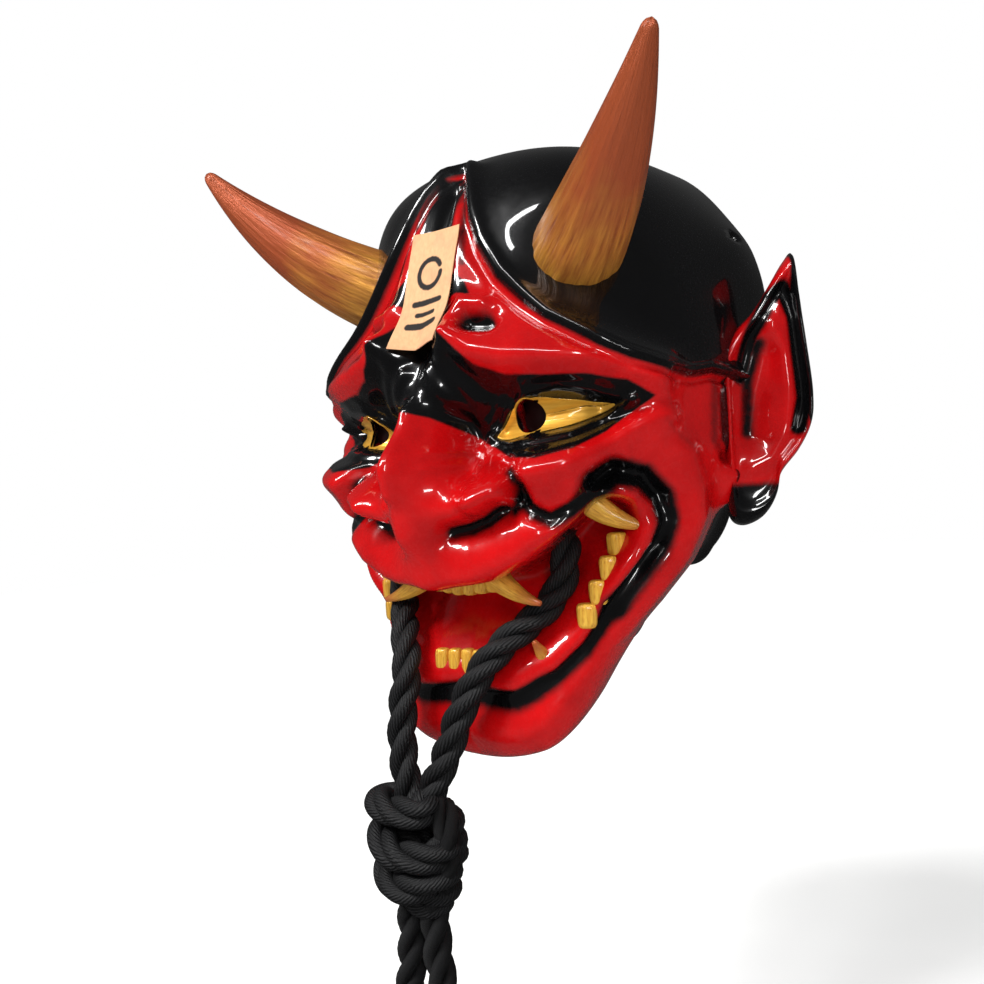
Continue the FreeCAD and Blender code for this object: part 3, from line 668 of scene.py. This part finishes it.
# ----------------------------------------
# Ears: separate resin castings glued to the temples, each a flat pointed leaf with a rolled helix,
# a deep fold behind it and a scooped concha. The fold and the back are sprayed black.
EAR_ROOT = np.array([84.0, -21.0, -99.0])
EAR_OUT = np.array([0.8, 0.6, 0.0])
EAR_FRONT = np.array([0.6, -0.8, 0.0])
EAR_MIDDLE = np.array([13.0, 16.0])
EAR_EDGE = [(26, 70), (27.5, 56), (29.5, 36), (31, 16), (29.5, 4), (24, -6), (16.5, -15), (14, -24), (9, -31),
            (1, -34), (-4, -30), (-4.5, -16), (-4.5, 6), (-4, 30), (2, 41), (9, 48), (16, 58), (22, 67)]


def round_line(points, share):
    """A smooth closed line through given points, at shares of the way round."""
    points = np.array(points, float)
    count = len(points)
    at = share * count
    first = np.floor(at).astype(int)
    t = (at - first)[:, None]
    a, b, c, d = (points[(first + shift) % count] for shift in (-1, 0, 1, 2))
    return 0.5 * (2 * b + (c - a) * t + (2 * a - 5 * b + 4 * c - d) * t ** 2 + (3 * b - a - 3 * c + d) * t ** 3)


def ear_face(u, r):
    """Height of the ear's front over its middle plane, with how black it is sprayed."""
    s, z = (EAR_MIDDLE + (round_line(EAR_EDGE, u) - EAR_MIDDLE) * r[:, None]).T
    helix = 2.6 * np.exp(-((r - 0.90) / 0.085) ** 2)
    inner_fold = line_distance(s, z, [(3, 24), (8, 40), (16, 53), (21, 57), (25, 46), (26, 30), (27, 14), (24, 3)])
    ridge = line_distance(s, z, [(5, -12), (13, -8), (20, 4), (21, 20), (19, 34), (15, 44)])
    scoop = line_distance(s, z, [(6, 2), (9, 18), (13, 31)])
    height = (3.6 + helix - 3.4 * np.exp(-(inner_fold / 3.0) ** 2) + 1.6 * np.exp(-(ridge / 3.2) ** 2)
              - 5.0 * np.exp(-(scoop / 6.0) ** 2))
    tone = np.maximum.reduce([1.1 * np.exp(-(inner_fold / 3.4) ** 2),
                              0.7 * np.exp(-(line_distance(s, z, [(5, 2), (6, 22), (11, 36)]) / 4.0) ** 2),
                              1.2 * step_up(z * 0.6 - 8 + (s - 27) * 4.0, 8.0) * step_up(s - 24, 4.0),
                              step_up(-18 - z, 10.0)])
    edge = np.sqrt(np.clip(1.0 - (np.clip(r - 0.9, 0.0, 0.1) / 0.1) ** 2, 0.0, 1.0))
    return height * edge, tone


for side, way in (("right", 1.0), ("left", -1.0)):
    bm = fresh()
    scalp_layer = bm.verts.layers.float.new("scalp")
    shade_layer = bm.verts.layers.float.new("shade")

    def ear_place(u, v):
        r = 1.0 - np.abs(2.0 * v - 1.0)
        s, z = (EAR_MIDDLE + (round_line(EAR_EDGE, u) - EAR_MIDDLE) * r[:, None]).T
        front = ear_face(u, r)[0]
        behind = -3.6 * np.sqrt(np.clip(1.0 - r ** 6, 0.0, 1.0))
        depth = np.where(v < 0.5, front, behind) - 0.4
        point = EAR_ROOT + s[:, None] * EAR_OUT + z[:, None] * np.array([0, 0, 1.0]) + depth[:, None] * EAR_FRONT
        return point * np.array([way, 1.0, 1.0])

    made, u, v = soft_grid(bm, 144, 100, ear_place)
    tones = ear_face(u, 1.0 - np.abs(2.0 * v - 1.0))[1]
    for vertex, tone, back in zip(made, tones, v > 0.5):
        vertex[scalp_layer] = -20.0
        vertex[shade_layer] = 1.0 if back else tone
    closed(bm)
    piece("ear_" + side + "_casting", bm, [lacquer], "mask", "lacquered_resin", "ear_" + side)

# ----------------------------------------
# Horns: solid resin cones let into cups in the scalp, each held by a screw from inside. The
# lengthwise grain is carved, and the gold paint is brushed to copper towards the tip.
def bowed_cone(root, tip, root_r, tip_r, bow, taper, carve=0.0):
    """Place function of a horn or fang: a cone bowed downwards, closed at both ends."""
    root, tip = np.array(root, float), np.array(tip, float)
    axis = unit(tip - root)
    down = np.array([0.0, 0.0, -1.0])
    down = down - axis * np.dot(axis, down)
    down = unit(down) if np.linalg.norm(down) > 1e-6 else np.array([1.0, 0.0, 0.0])

    def place(u, v):
        share = np.clip((v - 0.02) / 0.98, 0.0, 1.0)
        middle = root + (tip - root) * share[:, None] + down * (4 * bow * share * (1 - share))[:, None]
        heading = unit((tip - root) + down * (4 * bow * (1 - 2 * share))[:, None])
        across = unit(np.cross(heading, down))
        outward = np.cross(across, heading)
        radius = root_r + (tip_r - root_r) * share ** taper
        rounding = np.sqrt(np.clip(1 - (np.clip(share - 0.97, 0, 1) / 0.03) ** 2, 0, 1))
        radius = radius * np.minimum(v / 0.02, 1.0) * rounding
        angle = 2 * math.pi * u
        grain = (np.sin(9 * angle + 5 * share) + 0.6 * np.sin(17 * angle - 8 * share + 1.3)
                 + 0.5 * np.sin(26 * angle + 11 * share + 0.4))
        radius = radius * (1.0 + carve * grain * np.clip(1.4 - share, 0.3, 1.0))
        return middle + radius[:, None] * (np.cos(angle)[:, None] * outward + np.sin(angle)[:, None] * across)

    return place


def mirrored_place(place, way):
    return lambda u, v: place(u, v) * np.array([way, 1.0, 1.0])


def gold_paint(name, shine, low, high, copper, reach):
    """Metallic paint brushed over resin: flakes catch the light, and a dark wash stays in the grain."""
    material, tree, shader = finish(name, 0.36, metallic=0.45)
    shader.inputs["Coat Weight"].default_value = shine
    shader.inputs["Coat Roughness"].default_value = 0.18
    along = add(tree, "UVMap", uv_map="uv").outputs[0]
    split = add(tree, "SeparateXYZ", {"Vector": along})
    stretched = add(tree, "Mapping", {"Vector": along, "Scale": (26.0, 2.6, 1.0)})
    strokes = add(tree, "TexNoise", {"Vector": stretched.outputs[0], "Scale": 1.6, "Detail": 5.0, "Roughness": 0.62})
    object_place = add(tree, "TexCoord").outputs["Object"]
    flakes = add(tree, "TexNoise", {"Vector": object_place, "Scale": 1400.0, "Detail": 2.0})
    patches = add(tree, "TexNoise", {"Vector": object_place, "Scale": 60.0, "Detail": 3.0})
    copper_at = add(tree, "Math", {0: patches.outputs["Fac"], 1: 0.5, 2: -0.25}, operation="MULTIPLY_ADD")
    copper_at = add(tree, "Math", {0: split.outputs["Y"], 1: copper_at.outputs[0]}, operation="ADD")
    coppery = add(tree, "MapRange", {"Value": copper_at.outputs[0], "From Min": reach[0], "From Max": reach[1]})
    brushed = add(tree, "MapRange", {"Value": strokes.outputs["Fac"], "From Min": 0.32, "From Max": 0.62})
    gold = blend_colours(tree, brushed.outputs[0], linear(low), linear(high))
    worn = add(tree, "MapRange", {"Value": strokes.outputs["Fac"], "From Min": 0.28, "From Max": 0.40,
                                  "To Min": 0.62, "To Max": 1.0})
    warm = blend_colours(tree, coppery.outputs[0], gold, linear(copper))
    tree.links.new(blend_colours(tree, worn.outputs[0], linear("#3A1A0C"), warm), shader.inputs["Base Color"])
    rough = add(tree, "MapRange", {"Value": flakes.outputs["Fac"], "To Min": 0.28, "To Max": 0.50})
    tree.links.new(rough.outputs[0], shader.inputs["Roughness"])
    carved = add(tree, "Bump", {"Height": strokes.outputs["Fac"], "Strength": 0.75, "Distance": 0.0012})
    speckled = add(tree, "Bump", {"Height": flakes.outputs["Fac"], "Strength": 0.06, "Distance": 0.0001,
                                  "Normal": carved.outputs[0]})
    tree.links.new(speckled.outputs[0], shader.inputs["Normal"])
    return material


horn_gold = gold_paint("horn_gold_paint", 0.2, "#84481C", "#CF9038", "#A04A26", (0.12, 0.58))
horn_place = bowed_cone(HORN_BASE, HORN_TIP, HORN_BASE_R, 2.2, 7.0, 1.7, carve=0.010)
for side, way in (("right", 1.0), ("left", -1.0)):
    bm = fresh()
    soft_grid(bm, 120, 110, mirrored_place(horn_place, way))
    closed(bm)
    piece("horn_" + side + "_carved", bm, [horn_gold], "mask", "gold_paint", "horn_" + side)

# ----------------------------------------
# Fangs and tusks: small resin cones glued into the gums, in the same gold paint, yellower at the
# root and coppery at the point. Two curve out from under the lip and two sit in the corners.
fang_gold = gold_paint("fang_gold_paint", 0.5, "#C98424", "#F7C24C", "#C0602E", (0.55, 1.0))
FANGS = {"upper_fang": ((17.0, -92.0, -145.5), (39.0, -93.5, -155.5), 4.8, 0.9, 1.5),
         "upper_tusk": ((49.0, -77.0, -117.0), (71.0, -68.0, -130.0), 5.9, 0.9, 2.4),
         "lower_fang": ((33.0, -80.0, -181.0), (33.0, -91.5, -169.5), 4.1, 0.9, 0.5)}
for name, (root, tip, root_r, tip_r, bow) in FANGS.items():
    for side, way in (("right", 1.0), ("left", -1.0)):
        bm = fresh()
        soft_grid(bm, 40, 36, mirrored_place(bowed_cone(root, tip, root_r, tip_r, bow, 1.25, carve=0.012), way))
        closed(bm)
        piece(name + "_" + side + "_tooth", bm, [fang_gold], "mask", "gold_paint", name + "_" + side)

# ----------------------------------------
# Teeth: short rounded blocks of resin set side by side in the gums, gilded by hand.
tooth_gold = gold_paint("tooth_gold_paint", 0.6, "#D98F20", "#FFCC4E", "#B9653A", (1.2, 1.6))
TOOTH_ROWS = {
    "upper_teeth": ([(-16, -47), (0, -48), (16, -47)], 0.5, (6.4, 6.0, 12.0), 6, 1.0),
    "lower_teeth_front": ([(-13, -70), (0, -71), (13, -70)], 1.5, (5.3, 5.0, 11.0), 5, 1.0),
    "lower_teeth_right": ([(44, -63), (52, -55), (59, -46), (66, -37)], 1.0, (7.2, 7.0, 9.4), 4, 1.0),
    "lower_teeth_left": ([(44, -63), (52, -55), (59, -46), (66, -37)], 1.0, (7.2, 7.0, 9.4), 4, -1.0)}
for name, (line, lift, size, count, way) in TOOTH_ROWS.items():
    gum = np.array([face_place(np.array([p]), np.array([q]), lift, carved=False)[0] for p, q in line])
    run = np.concatenate([[0.0], np.cumsum(np.linalg.norm(np.diff(gum, axis=0), axis=1))])
    bm = fresh()
    for i in range(count):
        at = run[-1] * (i + 0.5) / count
        middle = np.array([np.interp(at, run, gum[:, axis]) for axis in range(3)])
        step = np.array([np.interp(at + 0.5, run, gum[:, axis]) - np.interp(at - 0.5, run, gum[:, axis])
                         for axis in range(3)])
        turn = math.atan2(step[1], step[0])
        across = np.array([math.cos(turn), math.sin(turn), 0.0])
        deep = np.array([-math.sin(turn), math.cos(turn), 0.0])
        odd = 1.0 + 0.05 * math.sin(5.0 * i + 1.0)

        def tooth_place(u, v):
            angle, height = 2 * math.pi * u, math.pi * (v - 0.5)

            def squared(value, power):
                return np.sign(value) * np.abs(value) ** power

            wide = squared(np.cos(height), 0.42) * squared(np.cos(angle), 0.5)
            thick = squared(np.cos(height), 0.42) * squared(np.sin(angle), 0.6)
            tall = squared(np.sin(height), 0.5)
            wide = wide * (1.0 + 0.06 * tall)
            return (middle + across * (0.5 * size[0] * odd * wide)[:, None] + deep * (0.5 * size[1] * thick)[:, None]
                    + np.array([0, 0, 0.5 * size[2]]) * tall[:, None]) * np.array([way, 1.0, 1.0])

        soft_grid(bm, 28, 20, tooth_place)
    closed(bm)
    piece(name + "_gilded", bm, [tooth_gold], "mask", "gold_paint", name)

# ----------------------------------------
# Eyes: thin gilt plates glued on the eyeballs, brushed lengthwise, each with the round hole that
# the wearer looks through bored at its inner end.
EYE_RIM = [(24.5, 5), (28, 10), (33, 14.6), (40, 17), (49, 16.8), (58, 16.2), (68, 15.0), (61, 11.2), (53, 7.8),
           (44, 5.8), (35, 4.4), (29, 3.6)]
eye_gold, tree, shader = finish("brushed_gilt", 0.44, metallic=0.5)
shader.inputs["Coat Weight"].default_value = 0.4
along = add(tree, "UVMap", uv_map="uv").outputs[0]
object_place = add(tree, "TexCoord").outputs["Object"]
drawn = add(tree, "Mapping", {"Vector": object_place, "Rotation": (0.0, math.radians(14), 0.0),
                              "Scale": (60.0, 60.0, 900.0)})
brushing = add(tree, "TexNoise", {"Vector": drawn.outputs[0], "Scale": 1.0, "Detail": 4.0, "Roughness": 0.6})
rim_at = add(tree, "SeparateXYZ", {"Vector": along})
to_rim = add(tree, "MapRange", {"Value": rim_at.outputs["Y"], "From Min": 0.72, "From Max": 1.0})
leaf = blend_colours(tree, brushing.outputs["Fac"], linear("#B87A1C"), linear("#F6C24A"))
tree.links.new(blend_colours(tree, to_rim.outputs[0], leaf, linear("#4A2408")), shader.inputs["Base Color"])
scored = add(tree, "Bump", {"Height": brushing.outputs["Fac"], "Strength": 0.5, "Distance": 0.0004})
tree.links.new(scored.outputs[0], shader.inputs["Normal"])


def eye_place(u, v):
    """From the hole's edge to the rim and back underneath, so that the plate is closed."""
    out = 1.0 - np.abs(2.0 * v - 1.0)
    rim = round_line(EYE_RIM, u)
    spot = np.array([37.5, 11.0])
    angle = np.arctan2(rim[:, 1] - spot[1], rim[:, 0] - spot[0])
    hole = spot + 5.6 * np.stack([np.cos(angle), np.sin(angle)], axis=-1)
    far = np.linalg.norm(rim - spot, axis=1) > 5.9
    rim = np.where(far[:, None], rim, spot + 5.9 * np.stack([np.cos(angle), np.sin(angle)], axis=-1))
    place = hole + (rim - hole) * out[:, None]
    crease = line_distance(place[:, 0], place[:, 1], [(44, 12), (56, 14.5), (68, 15.3)])
    lift = np.where(v < 0.5, 0.9 - 0.9 * np.exp(-(crease / 0.9) ** 2), -0.5)
    return face_place(place[:, 0], place[:, 1], lift)


# A disc of dark maroon film closes each hole from inside, so that each hole shows dark maroon.
smoked, tree, shader = finish("smoked_film", 0.35)
object_place = add(tree, "TexCoord").outputs["Object"]
haze = add(tree, "TexNoise", {"Vector": object_place, "Scale": 300.0, "Detail": 2.0})
two_tone(tree, shader, haze.outputs["Fac"], "#190304", "#2A0608")


FILM_R = 10.0


def film_place(u, v):
    """Flat disc just inside the eye hole, front and back."""
    out = FILM_R * np.minimum(1.0, 1.06 - np.abs(2.0 * v - 1.0))
    out = np.where((v < 1e-6) | (v > 1 - 1e-6), 0.0, out)
    angle = 2 * math.pi * u
    middle = face_place(np.array([38.0]), np.array([11.0]), -5.6)[0]
    depth = np.where(v < 0.5, -0.15, 0.15)
    return np.stack([PUPIL_X + out * np.cos(angle), middle[1] + depth, PUPIL_Z + out * np.sin(angle)], axis=-1)


for side, way in (("right", 1.0), ("left", -1.0)):
    bm = fresh()
    soft_grid(bm, 110, 40, mirrored_place(eye_place, way))
    plate_faces = set(bm.faces)
    soft_grid(bm, 40, 10, mirrored_place(film_place, way))
    for face in bm.faces:
        face.material_index = 0 if face in plate_faces else 1
    closed(bm)
    piece("eye_" + side + "_gilt", bm, [eye_gold, smoked], "mask", "gilt_plate", "eye_" + side)

# ----------------------------------------
# Paper slip: a strip of tan kraft paper pasted down the middle of the forehead, its ends lifting
# a little. The mark is a plain ring over three brush strokes, and stands for no writing.
paper, tree, shader = finish("kraft_paper", 0.85)
object_place = add(tree, "TexCoord").outputs["Object"]
fibres_at = add(tree, "Mapping", {"Vector": object_place, "Scale": (900.0, 900.0, 220.0)})
fibres = add(tree, "TexNoise", {"Vector": fibres_at.outputs[0], "Scale": 1.0, "Detail": 5.0, "Roughness": 0.7})
stains = add(tree, "TexNoise", {"Vector": object_place, "Scale": 90.0, "Detail": 3.0})
sheet = blend_colours(tree, fibres.outputs["Fac"], linear("#B5835A"), linear("#D9AE82"))
sheet = blend_colours(tree, add(tree, "MapRange", {"Value": stains.outputs["Fac"], "From Min": 0.45, "From Max": 0.75,
                                                   "To Max": 0.6}).outputs[0], sheet, linear("#C4735A"))
ink = add(tree, "Attribute", attribute_name="ink")
ink_edge = add(tree, "Math", {0: fibres.outputs["Fac"], 1: 0.7, 2: -0.35}, operation="MULTIPLY_ADD")
ink_edge = add(tree, "Math", {0: ink.outputs["Fac"], 1: ink_edge.outputs[0]}, operation="ADD")
inked = add(tree, "MapRange", {"Value": ink_edge.outputs[0], "From Min": -0.15, "From Max": 0.25})
tree.links.new(blend_colours(tree, inked.outputs[0], sheet, linear("#1A1412")), shader.inputs["Base Color"])
paper_bump = add(tree, "Bump", {"Height": fibres.outputs["Fac"], "Strength": 0.3, "Distance": 0.0003})
tree.links.new(paper_bump.outputs[0], shader.inputs["Normal"])
INK_STROKES = [(0.9, [(4.4 * math.cos(turn / 4), 58.0 + 4.4 * math.sin(turn / 4)) for turn in range(2, 26)]),
               (1.0, [(-5, 48.6), (5.5, 49.3)]), (0.8, [(-3.4, 45), (3.6, 45.4)]), (1.2, [(-5.6, 41), (5, 41.8)])]
bm = fresh()
ink_layer = bm.verts.layers.float.new("ink")


def slip_place(u, v):
    """Front of the paper for v under a half, then back along its underside."""
    down = 1.0 - np.abs(2.0 * v - 1.0)
    p, q = -8.2 + 19.0 * u, 33.0 + 38.0 * down
    curl = 16.0 * np.clip(np.abs(down - 0.5) * 2 - 0.75, 0, 1) ** 2
    edge_lift = 0.4 * (2 * u - 1) ** 2
    lift = np.where(v < 0.5, 3.4, 3.0) + 0.8 * curl + edge_lift + 0.7 * np.exp(-((q - 33.0) / 7.0) ** 2)
    return face_place(p, q, lift, carved=False)


made, u, v = soft_grid(bm, 76, 260, slip_place)
p, q = -9.5 + 19.0 * u, 33.0 + 38.0 * (1.0 - np.abs(2.0 * v - 1.0))
inside_ink = np.maximum.reduce([width - line_distance(p, q, line) for width, line in INK_STROKES])
for vertex, amount, front in zip(made, inside_ink, v < 0.5):
    vertex[ink_layer] = amount if front else -2.0
closed(bm)
piece("forehead_slip", bm, [paper], "mask", "kraft_paper", "paper_slip")

# ----------------------------------------
# Hanger and screws: a pressed steel plate and countersunk screws, zinc plated and barrel
# tumbled, which leaves a pale grey crystal pattern about 1 mm across.
zinc, tree, shader = finish("zinc_plated_steel", 0.38, metallic=1.0)
object_place = add(tree, "TexCoord").outputs["Object"]
crystals = add(tree, "TexVoronoi", {"Vector": object_place, "Scale": 900.0})
scuffs = add(tree, "TexNoise", {"Vector": object_place, "Scale": 300.0, "Detail": 4.0})
two_tone(tree, shader, crystals.outputs["Distance"], "#B9BCC0", "#8E9297")
tree.links.new(add(tree, "MapRange", {"Value": scuffs.outputs["Fac"], "To Min": 0.28, "To Max": 0.5}).outputs[0],
               shader.inputs["Roughness"])
for node in ("hanger_plate", "hanger_screws", "horn_screws"):
    steel = bpy.data.objects[node].data.materials
    steel.clear()
    steel.append(zinc)

# ----------------------------------------
# Floor and lights: a pale table top under the rope's ends, a big soft light over the left shoulder, a narrow one
# from the right, one narrow strip that draws streaks in the lacquer, and a sun.
floor_paint, tree, shader = finish("pale_floor", 0.8)
object_place = add(tree, "TexCoord").outputs["Object"]
speckle = add(tree, "TexNoise", {"Vector": object_place, "Scale": 60.0, "Detail": 3.0})
two_tone(tree, shader, speckle.outputs["Fac"], "#F2F2F1", "#F7F7F6")
shader.inputs["Emission Color"].default_value = (1.0, 1.0, 1.0, 1.0)
shader.inputs["Emission Strength"].default_value = 0.28
bm = fresh()
soft_grid(bm, 8, 8, lambda u, v: np.stack([6000 * (u - 0.5), 6000 * (v - 0.5), 0 * u - 372.0], axis=-1))
mesh = bpy.data.meshes.new("floor")
bm.to_mesh(mesh)
bm.free()
mesh.materials.append(floor_paint)
floor = bpy.data.objects.new("floor", mesh)
bpy.context.scene.collection.objects.link(floor)
floor.visible_glossy = False

world = bpy.data.worlds.new("studio")
world.use_nodes = True
tree = world.node_tree
background = tree.nodes["Background"]
background.inputs["Color"].default_value = (1.0, 1.0, 1.0, 1.0)
path = add(tree, "LightPath")
seen = add(tree, "MapRange", {"Value": path.outputs["Is Camera Ray"], "To Min": 0.42, "To Max": 1.0})
mirrored_sky = add(tree, "MapRange", {"Value": path.outputs["Is Glossy Ray"], "To Min": 1.0, "To Max": 0.16})
tree.links.new(add(tree, "Math", {0: seen.outputs[0], 1: mirrored_sky.outputs[0]}, operation="MULTIPLY").outputs[0],
               background.inputs["Strength"])
bpy.context.scene.view_settings.view_transform = "Standard"
bpy.context.scene.world = world


def soft_light(name, place, aim, size, watts):
    light = bpy.data.lights.new(name, "AREA")
    light.shape = "RECTANGLE"
    light.size, light.size_y = size
    light.energy = watts
    lamp = bpy.data.objects.new(name, light)
    bpy.context.scene.collection.objects.link(lamp)
    from_aim = np.array(place) - np.array(aim)
    lamp.location = place
    lamp.rotation_euler = Euler((math.atan2(math.hypot(from_aim[0], from_aim[1]), from_aim[2]), 0.0,
                                 math.atan2(from_aim[1], from_aim[0]) + math.pi / 2))


soft_light("key", (-0.55, -1.1, 0.75), (0.0, -0.05, -0.1), (0.24, 0.24), 9.0)
soft_light("window", (0.9, -0.9, 0.35), (0.0, -0.05, -0.1), (0.12, 0.5), 5.0)
soft_light("strip", (0.25, -0.9, 0.95), (0.0, -0.05, -0.1), (0.7, 0.06), 5.0)
sun = bpy.data.lights.new("sky", "SUN")
sun.energy = 1.9
sun.angle = math.radians(14)
sky = bpy.data.objects.new("sky", sun)
bpy.context.scene.collection.objects.link(sky)
sky.rotation_euler = Euler((math.radians(42), 0.0, math.radians(-15)))
